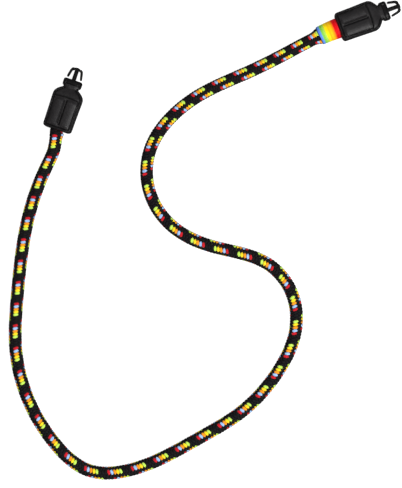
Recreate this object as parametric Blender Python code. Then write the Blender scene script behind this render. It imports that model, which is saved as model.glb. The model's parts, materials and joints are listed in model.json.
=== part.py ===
"""Elastic tether cord with a snap-in plug on each end, lying on a table.

A 6 mm shock cord (braided sheath over a rubber core) runs in a loose S between two
identical plugs. Each plug is a pair of clam shells, with a collar at the front, that
trap a crimped ferrule on the cord and the anchor disc of a snap insert, whose arrow tip
has two sprung barbs. At plug B the braid swells over a sleeve on the core, inside a
ribbon band.

Metres, +Z up. The origin is at the middle of the footprint, on the table.
The cord is a chain of links, each with a ball end towards plug B that sits in the next
link's socket end. The chain hangs from one link at the bottom of the big loop, and runs
from there to both plugs through empties that sit on the joints.
"""

import math

import bmesh
import bpy
import numpy as np
from mathutils import Vector

MM = 0.001  # every size below is in millimetres

# ---------------------------------------------------------------- cord sizes
CORD_R = 3.0  # outside of the braid
SHEATH_IN_R = 2.05
CORE_R = 1.75
CORD_IN = 12.5  # how far the cord reaches into a plug
CORD_SIDES = 12
CORE_SIDES = 6

# ---------------------------------------------------------------- plug sizes
# Along the plug's own X axis, from its base (x = 0) to the point of its tip. The front
# shell is on the +Z side of the parting plane and the back shell on the -Z side.
SHELL_LEN = 25.5  # to the front face of the collar
PARTING = 0.15  # each shell stops this far from the parting plane
BACK_FLAT = 5.45  # from the axis to the flat back
# station x, half width, half thickness, power of the superellipse section
SHELL_OUTLINE = (
    (0.0, 5.6, 4.5, 4.4),
    (0.3, 6.45, 5.08, 4.8),
    (0.8, 7.0, 5.42, 5.0),
    (1.55, 7.2, 5.58, 5.0),
    (1.95, 7.22, 5.6, 5.0),
    (6.0, 7.27, 5.6, 5.0),
    (11.0, 7.38, 5.6, 5.0),
    (16.0, 7.5, 5.58, 5.0),
    (16.9, 7.48, 5.55, 5.0),
    (17.7, 7.32, 5.4, 4.8),
    (18.6, 6.9, 5.1, 4.5),
    (19.6, 6.05, 4.6, 4.0),
    (20.5, 4.95, 4.05, 3.4),
    (21.2, 3.95, 3.7, 3.0),
    (21.55, 3.85, 3.65, 3.0),  # the neck behind the collar
    (21.9, 4.25, 3.65, 3.0),
    (22.4, 4.65, 3.65, 3.0),
    (24.3, 4.75, 3.55, 3.0),
    (25.05, 4.6, 3.15, 3.0),
    (SHELL_LEN, 4.1, 2.6, 2.8),
)
# points across a shell, as shares of its half width
ACROSS = (0.0, 0.07, 0.24, 0.45, 0.66, 0.78, 0.84, 0.94, 1.0)

# the grip panel sunk in the front shell, with two long lobes and a groove between them
GRIP_FROM, GRIP_TO = 1.7, 16.7
GRIP_EDGE = 0.81  # its half width, as a share of the shell's
GRIP_DEPTH = 0.45
LOBE_HEIGHT = 0.22
GROOVE_DEPTH = 0.35
GROOVE_SPREAD = 0.6  # where the groove has faded to 1/e of its depth

# pegs on the back shell and their holes in the front shell
PEG_PLACES = ((3.6, 5.1), (3.6, -5.1), (15.75, 5.1), (15.75, -5.1))
PEG_SIDES = 8
PEG_R, PEG_Z = 0.7, (-1.2, 1.6)
PEG_HOLE_R, PEG_HOLE_Z = 1.0, (-1.0, 2.1)

FERRULE_FROM, FERRULE_TO = 6.3, 12.0
FERRULE_IN_R, FERRULE_OUT_R = 2.9, 3.8
FERRULE_LIP = 1.6  # full-width length at each end
FERRULE_SLOPE = 0.4  # length over which it narrows to the waist
FERRULE_WAIST_DROP = 0.3
FERRULE_CHAMFER = 0.3

ANCHOR_FROM, ANCHOR_TO, ANCHOR_R = 14.9, 16.6, 3.0
ANCHOR_CHAMFER = 0.25
SHANK_R = 1.6
SHANK_SHORT = 0.4  # the shank ends this far inside the front face
STEM_IN = 1.0  # the stem starts this far inside the front face

# the hollow in the shells
RADIAL_GAP = 0.32  # round the cord, ferrule and anchor disc
SHANK_GAP = 0.3
END_GAP = 0.3  # at the ends of the ferrule and the disc
CORD_END_GAP = 0.35
STEP = 0.05  # length of each change of radius, also behind the shank
WEB_BORE_R = 1.0  # between the two pockets
OVERRUN = 2.0  # how far the cutter passes the ends of the shells

STEM_HALF_WIDTH, STEM_HALF_DEPTH = 0.98, 1.3  # the barbs are as deep as the stem
# half outline (x, y) of the cap at the point, from the stem outwards and forwards
CAP_LINE = (
    (30.5, STEM_HALF_WIDTH), (30.45, 1.45), (30.8, 1.85),
    (31.2, 1.6), (31.55, 1.0), (31.7, 0.45),
)  # fmt: skip
BARB_PIVOT = (30.15, 2.4)
# centreline x, y of a barb from its root, relative to its pivot, and its half thickness
BARB_LINE = (
    (0.0, 0.0, 0.43),
    (-0.62, 0.24, 0.43),
    (-1.5, 0.46, 0.42),
    (-2.6, 0.7, 0.4),
    (-3.6, 0.9, 0.37),
    (-3.95, 0.96, 0.17),
)
BARB_ROOT_ANGLES = (135, 180, 225)  # of its rounded root, degrees from its first stretch

# ---------------------------------------------------------------- sleeve, band and braid
# places are distances before plug B's base, and radius pairs run towards the plug
SLEEVE_FROM, SLEEVE_TO = 9.6, 2.9
SLEEVE_R = (2.85, 3.1)
SLEEVE_IN_R = 2.1
BAND_FROM, BAND_TO = 9.95, 0.45
BAND_R = (4.6, 5.05)
BAND_WALL = 0.28
SWELL_FROM = 15.0
SWELL_R = (4.0, 4.45)  # outside of the braid under the band
SWELL_STEPS = (12.8, 11.0)  # on the slope up to the band
SLEEVE_GAP = 0.35  # between the sleeve and the braid's bore

# distance before plug B's base, outside radius of the braid
SWELL_OUTSIDE = (
    (SWELL_FROM, CORD_R),
    (SWELL_STEPS[0], CORD_R + 0.25),
    (SWELL_STEPS[1], CORD_R + 0.65),
    (BAND_FROM, SWELL_R[0]),
    (1.7, SWELL_R[1]),
    (0.5, CORD_R + 0.2),
    (-0.6, CORD_R),
)
# distance before plug B's base, inside radius of the braid
SWELL_BORE = (
    (0.4, SHEATH_IN_R),
    (1.9, SLEEVE_R[1] + SLEEVE_GAP),
    (BAND_FROM, SLEEVE_R[0] + SLEEVE_GAP),
    (SWELL_STEPS[1], SLEEVE_R[0] - 0.1),
    (SWELL_STEPS[0], SHEATH_IN_R + 0.25),
    (SWELL_FROM - 1, SHEATH_IN_R),
)
SWELL_LEAD = 2.5  # the plain stretch of cord stops this far before the swell

# depth inside a plug, outside radius of the braid: its end, then crimped by the ferrule
CRIMPED_R = 2.6
BRAID_IN_PLUG = (
    (CORD_IN, CORD_R - 0.25),
    (FERRULE_TO, CRIMPED_R),
    (FERRULE_FROM, CRIMPED_R),
    (FERRULE_FROM - 1.4, CORD_R),
)
# distance past plug A's base, outside radius of the braid, which bulges at the mouth
BULGE = ((0.0, CORD_R), (1.0, CORD_R + 0.6), (3.0, CORD_R + 0.3))
BULGE_END = 6.0

# ---------------------------------------------------------------- chain of links
JOINTS = 12  # evenly spaced, so the links are numbered 0 to JOINTS
LAST_LINK = JOINTS
ROOT_LINK = 4  # the link at the bottom of the big loop
LINK_STEPS = 5
BALL_R = CORD_R
BALL_STATIONS = (1.2, 1.95)  # of the ball end, past the joint
SOCKET_R = 3.45
CORE_PAST_SOCKET = 0.1  # the core starts this far past the socket
CORE_INTO_BALL = 1.9  # and ends this far past the next joint

# ---------------------------------------------------------------- lie of the cord
START_HEADING = math.radians(-109.0)  # from +X, in which the cord leaves plug A
END_HEADING = math.radians(20.0)  # in which it runs into plug B
# x, y of the middle of the cord from plug A's base to plug B's: down the left side, round
# the big loop at the bottom, up the right side and back through the S
LAY_POINTS = (
    (-71.7, 53.5), (-73.5, 44.0), (-77.5, 34.0), (-84.5, 15.0), (-88.5, -5.0),
    (-91.0, -29.0), (-91.5, -53.0), (-85.5, -77.0), (-74.0, -96.5), (-55.5, -111.5),
    (-36.0, -111.0), (-2.5, -95.5), (17.0, -83.5), (36.0, -62.5), (44.0, -43.0),
    (41.5, -24.0), (31.5, -12.0), (2.5, -2.5), (-17.5, 8.5), (-27.0, 24.5),
    (-26.5, 44.0), (-17.5, 58.5), (-2.5, 70.5), (22.0, 82.0), (41.0, 91.5),
    (64.6, 102.8),
)  # fmt: skip
FOOTPRINT_SHIFT = (0.0, -0.15)  # moves the points so that the origin is in the middle
SPAN_STEPS = 120  # curve samples between neighbouring lay points
TABLE_STEP = 0.5  # spacing of the arc length table
CORD_Z = CORD_R  # the cord lies on the table
PLUG_Z = BACK_FLAT  # and each plug on its flat back
RISE_LEN = 34.0  # length over which the cord climbs from the table to a plug


# ---------------------------------------------------------------- materials
def material(name, rgb, roughness, metallic=0.0):
    mat = bpy.data.materials.new(name)
    mat.use_nodes = True
    shader = mat.node_tree.nodes["Principled BSDF"]
    shader.inputs["Base Color"].default_value = (*rgb, 1.0)
    shader.inputs["Roughness"].default_value = roughness
    shader.inputs["Metallic"].default_value = metallic
    mat.diffuse_color = (*rgb, 1.0)
    return mat


for old in list(bpy.data.objects):
    bpy.data.objects.remove(old, do_unlink=True)

BRAID = material("black_braid", rgb=(0.02, 0.02, 0.022), roughness=0.8)
RUBBER = material("latex_core", rgb=(0.62, 0.52, 0.38), roughness=0.6)
SHELL = material("satin_black_nylon", rgb=(0.028, 0.027, 0.028), roughness=0.45)
INSERT = material("black_acetal", rgb=(0.012, 0.012, 0.013), roughness=0.3)
METAL = material("plated_ferrule", rgb=(0.6, 0.6, 0.6), roughness=0.3, metallic=1.0)
RIBBON = material("striped_ribbon", rgb=(0.9, 0.62, 0.08), roughness=0.7)
SLEEVE = material("vinyl_sleeve", rgb=(0.05, 0.05, 0.052), roughness=0.55)


# ---------------------------------------------------------------- the cord's centreline
def spline_slopes(points, gaps):
    """Slope at each point of the cubic spline with the given headings at its ends."""
    count = len(points)
    rows, right = np.zeros((count, count)), np.zeros((count, 2))
    rows[0, 0] = rows[-1, -1] = 1
    right[0] = math.cos(START_HEADING), math.sin(START_HEADING)
    right[-1] = math.cos(END_HEADING), math.sin(END_HEADING)
    for k in range(1, count - 1):
        before, after = gaps[k - 1], gaps[k]
        rows[k, k - 1 : k + 2] = after, 2 * (before + after), before
        right[k] = 3 * (
            after / before * (points[k] - points[k - 1])
            + before / after * (points[k + 1] - points[k])
        )
    return np.linalg.solve(rows, right)


def distances(points):
    return np.linalg.norm(np.diff(points, axis=0), axis=1)


def lay_table():
    """Arc length, x, y and heading along the smooth curve through the lay points."""
    points = np.array(LAY_POINTS) + FOOTPRINT_SHIFT
    gaps = distances(points)
    slopes = spline_slopes(points, gaps)
    u = (np.arange(1, SPAN_STEPS + 1) / SPAN_STEPS)[:, None]  # share of the way along a span
    curve = [points[:1]]
    for k, gap in enumerate(gaps):
        curve.append(
            (1 + 2 * u) * (1 - u) ** 2 * points[k]
            + u * (1 - u) ** 2 * gap * slopes[k]
            + u**2 * (3 - 2 * u) * points[k + 1]
            + u**2 * (u - 1) * gap * slopes[k + 1]
        )
    curve = np.concatenate(curve)
    along = np.concatenate([[0], np.cumsum(distances(curve))])
    s = np.linspace(0, along[-1], round(along[-1] / TABLE_STEP) + 1)
    x, y = np.interp(s, along, curve[:, 0]), np.interp(s, along, curve[:, 1])
    heading = np.unwrap(np.arctan2(np.gradient(y, s), np.gradient(x, s)))
    # the ends take the exact headings, the last with the whole turns made on the way
    full_turns = round((heading[-2] - END_HEADING) / (2 * math.pi))
    heading[0] = START_HEADING
    heading[-1] = END_HEADING + 2 * math.pi * full_turns
    return s, x, y, heading


S_TABLE, X_TABLE, Y_TABLE, HEADING_TABLE = lay_table()
CORD_LEN = float(S_TABLE[-1])  # from the base of one plug to the base of the other


def smooth(t):
    t = min(max(t, 0.0), 1.0)
    return t * t * (3 - 2 * t)


def centre(s):
    """Point on the centreline at arc length s. Beyond either end it runs straight on."""
    inside = min(max(s, 0.0), CORD_LEN)
    heading = np.interp(inside, S_TABLE, HEADING_TABLE)
    x = np.interp(inside, S_TABLE, X_TABLE) + (s - inside) * math.cos(heading)
    y = np.interp(inside, S_TABLE, Y_TABLE) + (s - inside) * math.sin(heading)
    rise = 2 - smooth(s / RISE_LEN) - smooth((CORD_LEN - s) / RISE_LEN)
    return Vector((x, y, CORD_Z + (PLUG_Z - CORD_Z) * rise))


def normals(s):
    """Left and up normals of the centreline."""
    tangent = (centre(s + 0.25) - centre(s - 0.25)).normalized()
    left = Vector((-tangent.y, tangent.x, 0)).normalized()
    return left, tangent.cross(left)


# ---------------------------------------------------------------- rings of points
def evenly(start, end, steps):
    return [start + (end - start) * k / steps for k in range(steps + 1)]


def circle_angles(sides):
    return [2 * math.pi * (k + 0.5) / sides for k in range(sides)]


def cord_rings(profile, sides, origin):
    """Rings round the cord from (arc length, radius), relative to origin."""
    rings = []
    for s, radius in profile:
        left, up = normals(s)
        middle = centre(s) - origin
        rings.append(
            [
                middle + radius * (math.cos(a) * left + math.sin(a) * up)
                for a in circle_angles(sides)
            ]
        )
    return rings


def turned_rings(profile, sides):
    """Rings round the X axis from (x, radius)."""
    return [
        [(x, r * math.cos(a), r * math.sin(a)) for a in circle_angles(sides)]
        for x, r in profile
    ]


def prism_rings(outline, half_depth):
    """The two ends of a prism along Z from a closed outline of (x, y)."""
    return [[(x, y, z) for x, y in outline] for z in (-half_depth, half_depth)]


# ---------------------------------------------------------------- objects
def place(name, data, parent, location, turn=0.0):
    obj = bpy.data.objects.new(name, data)
    bpy.context.scene.collection.objects.link(obj)
    obj.location = Vector(location) * MM
    obj.rotation_euler = (0, 0, turn)
    obj.parent = parent
    return obj


def empty(name, location, parent=None, turn=0.0):
    obj = place(name, None, parent, location, turn)
    obj.empty_display_size = 4 * MM
    return obj


def finish(name, bm, mat, parent, location=(0, 0, 0), smooth_angle=40):
    bmesh.ops.recalc_face_normals(bm, faces=bm.faces)
    mesh = bpy.data.meshes.new(name)
    bm.to_mesh(mesh)
    bm.free()
    mesh.shade_smooth()
    mesh.set_sharp_from_angle(angle=math.radians(smooth_angle))
    mesh.materials.append(mat)
    return place(name, mesh, parent, location)


def skin(name, rings, mat, parent, loop=False, **options):
    """A solid through rings of points. loop joins the last ring to the first, else both
    are capped."""
    bm = bmesh.new()
    rings = [[bm.verts.new(Vector(point) * MM) for point in ring] for ring in rings]
    pairs = list(zip(rings, rings[1:]))
    if loop:
        pairs.append((rings[-1], rings[0]))
    for a, b in pairs:
        count = len(a)
        for k in range(count):
            after = (k + 1) % count
            bm.faces.new((a[k], a[after], b[after], b[k]))
    if not loop:
        bm.faces.new(list(reversed(rings[0])))
        bm.faces.new(rings[-1])
    return finish(name, bm, mat, parent, **options)


def boolean(obj, helper, operation):
    helper.hide_render = True
    helper.display_type = "WIRE"
    mod = obj.modifiers.new(f"{operation.lower()}_{helper.name}", "BOOLEAN")
    mod.operation = operation
    mod.solver = "EXACT"
    mod.object = helper


# ---------------------------------------------------------------- cord links
def link_bounds(i):
    """Arc lengths between which link i runs. Joint i is at its start."""
    pitch = CORD_LEN / JOINTS
    start = -CORD_IN if i == 0 else (i - 0.5) * pitch
    end = CORD_LEN + CORD_IN if i == LAST_LINK else (i + 0.5) * pitch
    return start, end


def bore_r(s):
    """Inside of the sheath, which opens out over the sleeve at plug B."""
    before, radii = zip(*SWELL_BORE)
    return float(np.interp(CORD_LEN - s, before, radii))


def sheath_profile(i):
    """(arc length, radius) along the outside of link i and back along its bore."""
    start, end = link_bounds(i)
    if i == 0:
        head = [*((-depth, r) for depth, r in BRAID_IN_PLUG), *BULGE]
        plain_from, bore_from = BULGE_END, start
    else:
        # the socket's mouth slopes between where its sphere meets the outside and the bore
        head = []
        plain_from = start + math.sqrt(SOCKET_R**2 - CORD_R**2)
        bore_from = start + math.sqrt(SOCKET_R**2 - SHEATH_IN_R**2)
    if i == LAST_LINK:
        tail = [(CORD_LEN - before, r) for before, r in SWELL_OUTSIDE]
        tail += [(CORD_LEN + depth, r) for depth, r in reversed(BRAID_IN_PLUG)]
        plain_to, bore_to = CORD_LEN - SWELL_FROM - SWELL_LEAD, end
    else:
        tail = [(end + x, math.sqrt(BALL_R**2 - x**2)) for x in BALL_STATIONS]
        plain_to, bore_to = end, end + BALL_STATIONS[-1]
    steps = LINK_STEPS if 0 < i < LAST_LINK else LINK_STEPS // 2
    outer = head + [(s, CORD_R) for s in evenly(plain_from, plain_to, steps)] + tail
    # the bore follows the same stations, so that the wall stays even round the bends
    shared = [s for s, _ in reversed(outer) if bore_from + 1 < s < bore_to - 1]
    return outer + [(s, bore_r(s)) for s in (bore_to, *shared, bore_from)]


def core_profile(i):
    start, end = link_bounds(i)
    if i > 0:
        start += SOCKET_R + CORE_PAST_SOCKET
    if i < LAST_LINK:
        end += CORE_INTO_BALL
    return [(s, CORE_R) for s in evenly(start, end, LINK_STEPS)]


def link_frames():
    """For each link, the empty that carries it and that empty's place."""
    root_at = centre(CORD_LEN * ROOT_LINK / JOINTS)
    frames = {ROOT_LINK: (empty("root_link_frame", root_at), root_at)}
    for i in [*range(ROOT_LINK + 1, LAST_LINK + 1), *range(ROOT_LINK - 1, -1, -1)]:
        joint, nearer = (i, i - 1) if i > ROOT_LINK else (i + 1, i + 1)
        at = centre(link_bounds(joint)[0])
        carrier, carrier_at = frames[nearer]
        frames[i] = (empty(f"bend_{joint:02d}", at - carrier_at, carrier), at)
    return frames


def cord_part(name, profile, sides, mat, frame, loop):
    carrier, carrier_at = frame
    skin(name, cord_rings(profile, sides, carrier_at), mat, carrier, loop=loop)


def ring_on_cord(name, before_from, before_to, outer_radii, inner_radii, sides, mat, frame):
    """A ring round the cord at plug B, with its radii at both ends."""
    stations = evenly(CORD_LEN - before_from, CORD_LEN - before_to, 3)
    outer = list(zip(stations, evenly(*outer_radii, 3)))
    inner = list(zip(stations, evenly(*inner_radii, 3)))
    cord_part(name, outer + inner[::-1], sides, mat, frame, loop=True)


# ---------------------------------------------------------------- plug shells
def grip_drop(x, y, half_width):
    """How far the front shell's grip panel is sunk at a point."""
    share = abs(y) / (GRIP_EDGE * half_width)
    if not GRIP_FROM < x < GRIP_TO or share > 1:
        return 0.0
    lobe = LOBE_HEIGHT * math.sin(math.pi * share)
    groove = GROOVE_DEPTH * math.exp(-((y / GROOVE_SPREAD) ** 2))
    return GRIP_DEPTH - lobe + groove


def shell_section(x, half_width, half_thickness, power, front):
    """Points from +y to -y over the outside. The last and first span the parting face."""
    points = []
    for share in [*reversed(ACROSS), *(-a for a in ACROSS[1:])]:
        y = share * half_width
        z = half_thickness * max(1 - abs(share) ** power, 0) ** (1 / power)
        if front:
            z -= grip_drop(x, y, half_width)
        else:
            z = min(z, BACK_FLAT)
        z = max(z, PARTING)
        points.append((x, y, z if front else -z))
    return points


def shell(name, front, frame):
    rings = [shell_section(*station, front) for station in SHELL_OUTLINE]
    return skin(name, rings, SHELL, frame, smooth_angle=35)


def hollow_cutter(tag, frame):
    """Cord bore, ferrule pocket, anchor pocket and shank bore, shared by both shells."""
    cord_bore = CORD_R + RADIAL_GAP
    ferrule_pocket = FERRULE_OUT_R + RADIAL_GAP
    anchor_pocket = ANCHOR_R + RADIAL_GAP
    shank_bore = SHANK_R + SHANK_GAP
    profile = [
        (-OVERRUN, cord_bore),
        (FERRULE_FROM - END_GAP - STEP, cord_bore),
        (FERRULE_FROM - END_GAP, ferrule_pocket),
        (CORD_IN + CORD_END_GAP, ferrule_pocket),
        (CORD_IN + CORD_END_GAP + STEP, WEB_BORE_R),
        (ANCHOR_FROM - END_GAP - STEP, WEB_BORE_R),
        (ANCHOR_FROM - END_GAP, anchor_pocket),
        (ANCHOR_TO + END_GAP, anchor_pocket),
        (ANCHOR_TO + END_GAP + STEP, shank_bore),
        (SHELL_LEN + OVERRUN, shank_bore),
    ]
    return skin(f"{tag}_hollow_cutter", turned_rings(profile, 16), SHELL, frame)


def peg(name, x, y, radius, z_range, frame):
    low, high = z_range
    bm = bmesh.new()
    bmesh.ops.create_cone(
        bm,
        cap_ends=True,
        segments=PEG_SIDES,
        radius1=radius * MM,
        radius2=radius * MM,
        depth=(high - low) * MM,
    )
    bmesh.ops.translate(bm, verts=bm.verts, vec=Vector((x, y, (high + low) / 2)) * MM)
    return finish(name, bm, SHELL, frame)


def shells(tag, frame):
    front = shell(f"{tag}_front_shell", True, frame)
    back = shell(f"{tag}_back_shell", False, frame)
    hollow = hollow_cutter(tag, frame)
    boolean(front, hollow, "DIFFERENCE")
    boolean(back, hollow, "DIFFERENCE")
    for k, (x, y) in enumerate(PEG_PLACES):
        pin = peg(f"{tag}_peg_union_{k}", x, y, PEG_R, PEG_Z, frame)
        boolean(back, pin, "UNION")
        hole = peg(f"{tag}_peg_difference_{k}", x, y, PEG_HOLE_R, PEG_HOLE_Z, frame)
        boolean(front, hole, "DIFFERENCE")


# ---------------------------------------------------------------- plug inner parts
def ferrule(tag, frame):
    waist_r = FERRULE_OUT_R - FERRULE_WAIST_DROP
    profile = [
        (FERRULE_FROM, FERRULE_IN_R + FERRULE_CHAMFER),
        (FERRULE_FROM, FERRULE_OUT_R),
        (FERRULE_FROM + FERRULE_LIP, FERRULE_OUT_R),
        (FERRULE_FROM + FERRULE_LIP + FERRULE_SLOPE, waist_r),
        (FERRULE_TO - FERRULE_LIP - FERRULE_SLOPE, waist_r),
        (FERRULE_TO - FERRULE_LIP, FERRULE_OUT_R),
        (FERRULE_TO, FERRULE_OUT_R),
        (FERRULE_TO, FERRULE_IN_R),
        (FERRULE_FROM + FERRULE_CHAMFER, FERRULE_IN_R),
    ]
    skin(f"{tag}_crimp_ferrule", turned_rings(profile, 16), METAL, frame, loop=True)


def snap_insert(tag, frame):
    """Anchor disc and shank inside the shells, joined to the stem and cap outside."""
    profile = [
        (ANCHOR_FROM, ANCHOR_R - ANCHOR_CHAMFER),
        (ANCHOR_FROM + ANCHOR_CHAMFER, ANCHOR_R),
        (ANCHOR_TO, ANCHOR_R),
        (ANCHOR_TO + STEP, SHANK_R),
        (SHELL_LEN - SHANK_SHORT, SHANK_R),
    ]
    insert = skin(f"{tag}_snap_insert", turned_rings(profile, 14), INSERT, frame)
    half = [(SHELL_LEN - STEM_IN, STEM_HALF_WIDTH), *CAP_LINE]
    outline = [*half, *((x, -y) for x, y in reversed(half))]
    stem = skin(f"{tag}_stem_body", prism_rings(outline, STEM_HALF_DEPTH), INSERT, frame)
    boolean(insert, stem, "UNION")


def barb_outline():
    """Closed outline of the +y barb, relative to its pivot."""
    stem_edge, outer_edge = [], []
    for k, (x, y, half) in enumerate(BARB_LINE):
        x0, y0, _ = BARB_LINE[max(k - 1, 0)]
        x1, y1, _ = BARB_LINE[min(k + 1, len(BARB_LINE) - 1)]
        length = math.hypot(x1 - x0, y1 - y0)
        normal_x, normal_y = -(y1 - y0) / length, (x1 - x0) / length
        stem_edge.append((x + normal_x * half, y + normal_y * half))
        outer_edge.append((x - normal_x * half, y - normal_y * half))
    root_r = BARB_LINE[0][2]
    direction = math.atan2(BARB_LINE[1][1], BARB_LINE[1][0])
    angles = [direction + math.radians(a) for a in BARB_ROOT_ANGLES]
    root = [(root_r * math.cos(a), root_r * math.sin(a)) for a in angles]
    return [*reversed(stem_edge), *root, *outer_edge]


def barbs(tag, frame):
    """The two barbs swept back from the point, left on +y and right on -y."""
    pivot_x, pivot_y = BARB_PIVOT
    for word, side in (("left", 1), ("right", -1)):
        rings = prism_rings([(x, side * y) for x, y in barb_outline()], STEM_HALF_DEPTH)
        location = (pivot_x, side * pivot_y, 0)
        skin(f"{tag}_barb_{word}", rings, INSERT, frame, location=location)


def plug(tag, base_s, heading, link_frame):
    """A plug with its base at arc length base_s, pointing along heading."""
    carrier, carrier_at = link_frame
    frame = empty(f"plug_{tag}_axis", centre(base_s) - carrier_at, carrier, turn=heading)
    shells(tag, frame)
    ferrule(tag, frame)
    snap_insert(tag, frame)
    barbs(tag, frame)


# ---------------------------------------------------------------- the whole tether
FRAMES = link_frames()
for i in range(LAST_LINK + 1):
    cord_part(
        f"cord_sheath_{i:02d}", sheath_profile(i), CORD_SIDES, BRAID, FRAMES[i], loop=True
    )
    cord_part(
        f"cord_core_{i:02d}", core_profile(i), CORE_SIDES, RUBBER, FRAMES[i], loop=False
    )

# plug A points away from the cord's start, plug B on from its end
plug("a", 0, START_HEADING + math.pi, FRAMES[0])
plug("b", CORD_LEN, float(HEADING_TABLE[-1]), FRAMES[LAST_LINK])

ring_on_cord(
    "end_sleeve",
    SLEEVE_FROM,
    SLEEVE_TO,
    outer_radii=SLEEVE_R,
    inner_radii=(SLEEVE_IN_R, SLEEVE_IN_R),
    sides=12,
    mat=SLEEVE,
    frame=FRAMES[LAST_LINK],
)
ring_on_cord(
    "rainbow_band",
    BAND_FROM,
    BAND_TO,
    outer_radii=BAND_R,
    inner_radii=[r - BAND_WALL for r in BAND_R],
    sides=20,
    mat=RIBBON,
    frame=FRAMES[LAST_LINK],
)
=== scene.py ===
# A braided elastic cord with a snap plug on each end, lying in an S and a loop on a table.
# The table is z = 0, the origin is in the middle of the footprint, and the camera looks
# straight down with +y up the picture. Sizes are in mm unless a name or comment says otherwise.
import json
import math

import bmesh
import bpy
import numpy as np
from mathutils import Matrix, Vector


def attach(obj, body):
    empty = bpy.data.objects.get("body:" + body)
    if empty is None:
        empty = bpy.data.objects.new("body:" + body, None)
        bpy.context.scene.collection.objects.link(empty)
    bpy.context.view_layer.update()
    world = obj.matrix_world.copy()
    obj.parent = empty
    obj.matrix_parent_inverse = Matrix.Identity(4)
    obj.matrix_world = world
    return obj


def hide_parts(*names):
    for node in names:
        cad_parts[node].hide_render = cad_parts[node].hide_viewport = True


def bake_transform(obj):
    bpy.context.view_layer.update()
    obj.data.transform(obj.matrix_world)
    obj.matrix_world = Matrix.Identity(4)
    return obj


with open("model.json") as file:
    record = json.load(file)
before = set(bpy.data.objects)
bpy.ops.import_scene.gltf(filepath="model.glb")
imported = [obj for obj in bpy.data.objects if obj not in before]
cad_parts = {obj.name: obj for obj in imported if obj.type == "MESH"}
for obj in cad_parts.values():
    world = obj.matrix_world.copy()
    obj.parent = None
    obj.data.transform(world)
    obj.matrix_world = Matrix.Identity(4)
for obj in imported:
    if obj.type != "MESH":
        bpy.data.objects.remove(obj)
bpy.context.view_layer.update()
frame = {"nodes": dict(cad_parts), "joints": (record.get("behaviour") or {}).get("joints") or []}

MM = 0.001
SCENE = bpy.context.scene

# ------------------------------------------------------------------ the cord's layout
START_HEADING = -109.0  # degrees, leaving plug A
END_HEADING = 20.0  # degrees, entering plug B
# x, y of the cord's middle, from plug A's base to plug B's: down the left side, round the
# big loop at the bottom, up the right side and back through the S
LAY_POINTS = (
    (-71.7, 53.5), (-73.5, 44.0), (-77.5, 34.0), (-84.5, 15.0), (-88.5, -5.0), (-91.0, -29.0),
    (-91.5, -53.0), (-85.5, -77.0), (-74.0, -96.5), (-55.5, -111.5), (-36.0, -111.0),
    (-2.5, -95.5), (17.0, -83.5), (36.0, -62.5), (44.0, -43.0), (41.5, -24.0), (31.5, -12.0),
    (2.5, -2.5), (-17.5, 8.5), (-27.0, 24.5), (-26.5, 44.0), (-17.5, 58.5), (-2.5, 70.5),
    (22.0, 82.0), (41.0, 91.5), (64.6, 102.8),
)  # fmt: skip
FOOTPRINT_SHIFT = (0.0, -0.15)  # moves the points so that the origin is in the middle
LAY_STEP = 0.5
CORD_Z = 3.0
PLUG_Z = 5.45  # height of a plug's axis, and depth of its flat foot below that axis
RISE_LEN = 34.0  # the cord climbs to a plug's height over this length
JOINTS = 12  # one piece of sheath and of core spans each joint
CORD_IN = 12.5  # the cord runs this far into each plug
PATH_OVERRUN = 20  # straight run added to the path beyond each end


def smooth(t):
    """Smooth step from 0 to 1."""
    t = np.clip(t, 0.0, 1.0)
    return t * t * (3 - 2 * t)


def rise(value, start, over):
    """0 up to start, then a smooth climb to 1."""
    return smooth((value - start) / over)


def fall(value, end, over):
    """A smooth drop from 1, reaching 0 at end."""
    return smooth((end - value) / over)


def bell(offset, width):
    return np.exp(-((offset / width) ** 2))


def plateau(offset, width):
    """Like a bell, with a flatter top."""
    return np.exp(-((offset / width) ** 4))


def compass(degrees):
    """Unit x, y along a heading."""
    return math.cos(math.radians(degrees)), math.sin(math.radians(degrees))


def distance_along(points):
    """Distance of each point from the first, measured along the line."""
    return np.concatenate([[0], np.cumsum(np.linalg.norm(np.diff(points, axis=0), axis=1))])


def knot_slopes(points, gap):
    """Slopes of the cubic spline through the points, with the headings given at its ends."""
    count = len(points)
    rows, right = np.zeros((count, count)), np.zeros((count, 2))
    rows[0, 0] = rows[-1, -1] = 1
    right[0], right[-1] = compass(START_HEADING), compass(END_HEADING)
    for k in range(1, count - 1):
        before, after = gap[k - 1], gap[k]
        rows[k, k - 1 : k + 2] = after, 2 * (before + after), before
        right[k] = 3 * (
            after / before * (points[k] - points[k - 1])
            + before / after * (points[k + 1] - points[k])
        )
    return np.linalg.solve(rows, right)


def lay_table():
    """Arc length, x, y and heading along the smooth curve through the lay points."""
    points = np.array(LAY_POINTS) + FOOTPRINT_SHIFT
    gap = np.diff(distance_along(points))
    slope = knot_slopes(points, gap)
    u = (np.arange(1, 121) / 120)[:, None]
    curve = [points[:1]]
    for k in range(len(points) - 1):
        curve.append(
            (1 + 2 * u) * (1 - u) ** 2 * points[k]
            + u * (1 - u) ** 2 * gap[k] * slope[k]
            + u**2 * (3 - 2 * u) * points[k + 1]
            + u**2 * (u - 1) * gap[k] * slope[k + 1]
        )
    curve = np.concatenate(curve)
    run = distance_along(curve)
    arc = np.linspace(0, run[-1], round(run[-1] / LAY_STEP) + 1)
    x, y = np.interp(arc, run, curve[:, 0]), np.interp(arc, run, curve[:, 1])
    heading = np.unwrap(np.arctan2(np.gradient(y, arc), np.gradient(x, arc)))
    heading[0] = math.radians(START_HEADING)
    end = math.radians(END_HEADING)
    heading[-1] = end + 2 * math.pi * round((heading[-2] - end) / (2 * math.pi))
    return arc, x, y, heading


LAY = lay_table()
HEADING = LAY[3]
CORD_LEN = float(LAY[0][-1])
PITCH = CORD_LEN / JOINTS


def unit_rows(vectors):
    return vectors / np.linalg.norm(vectors, axis=1)[:, None]


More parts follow.
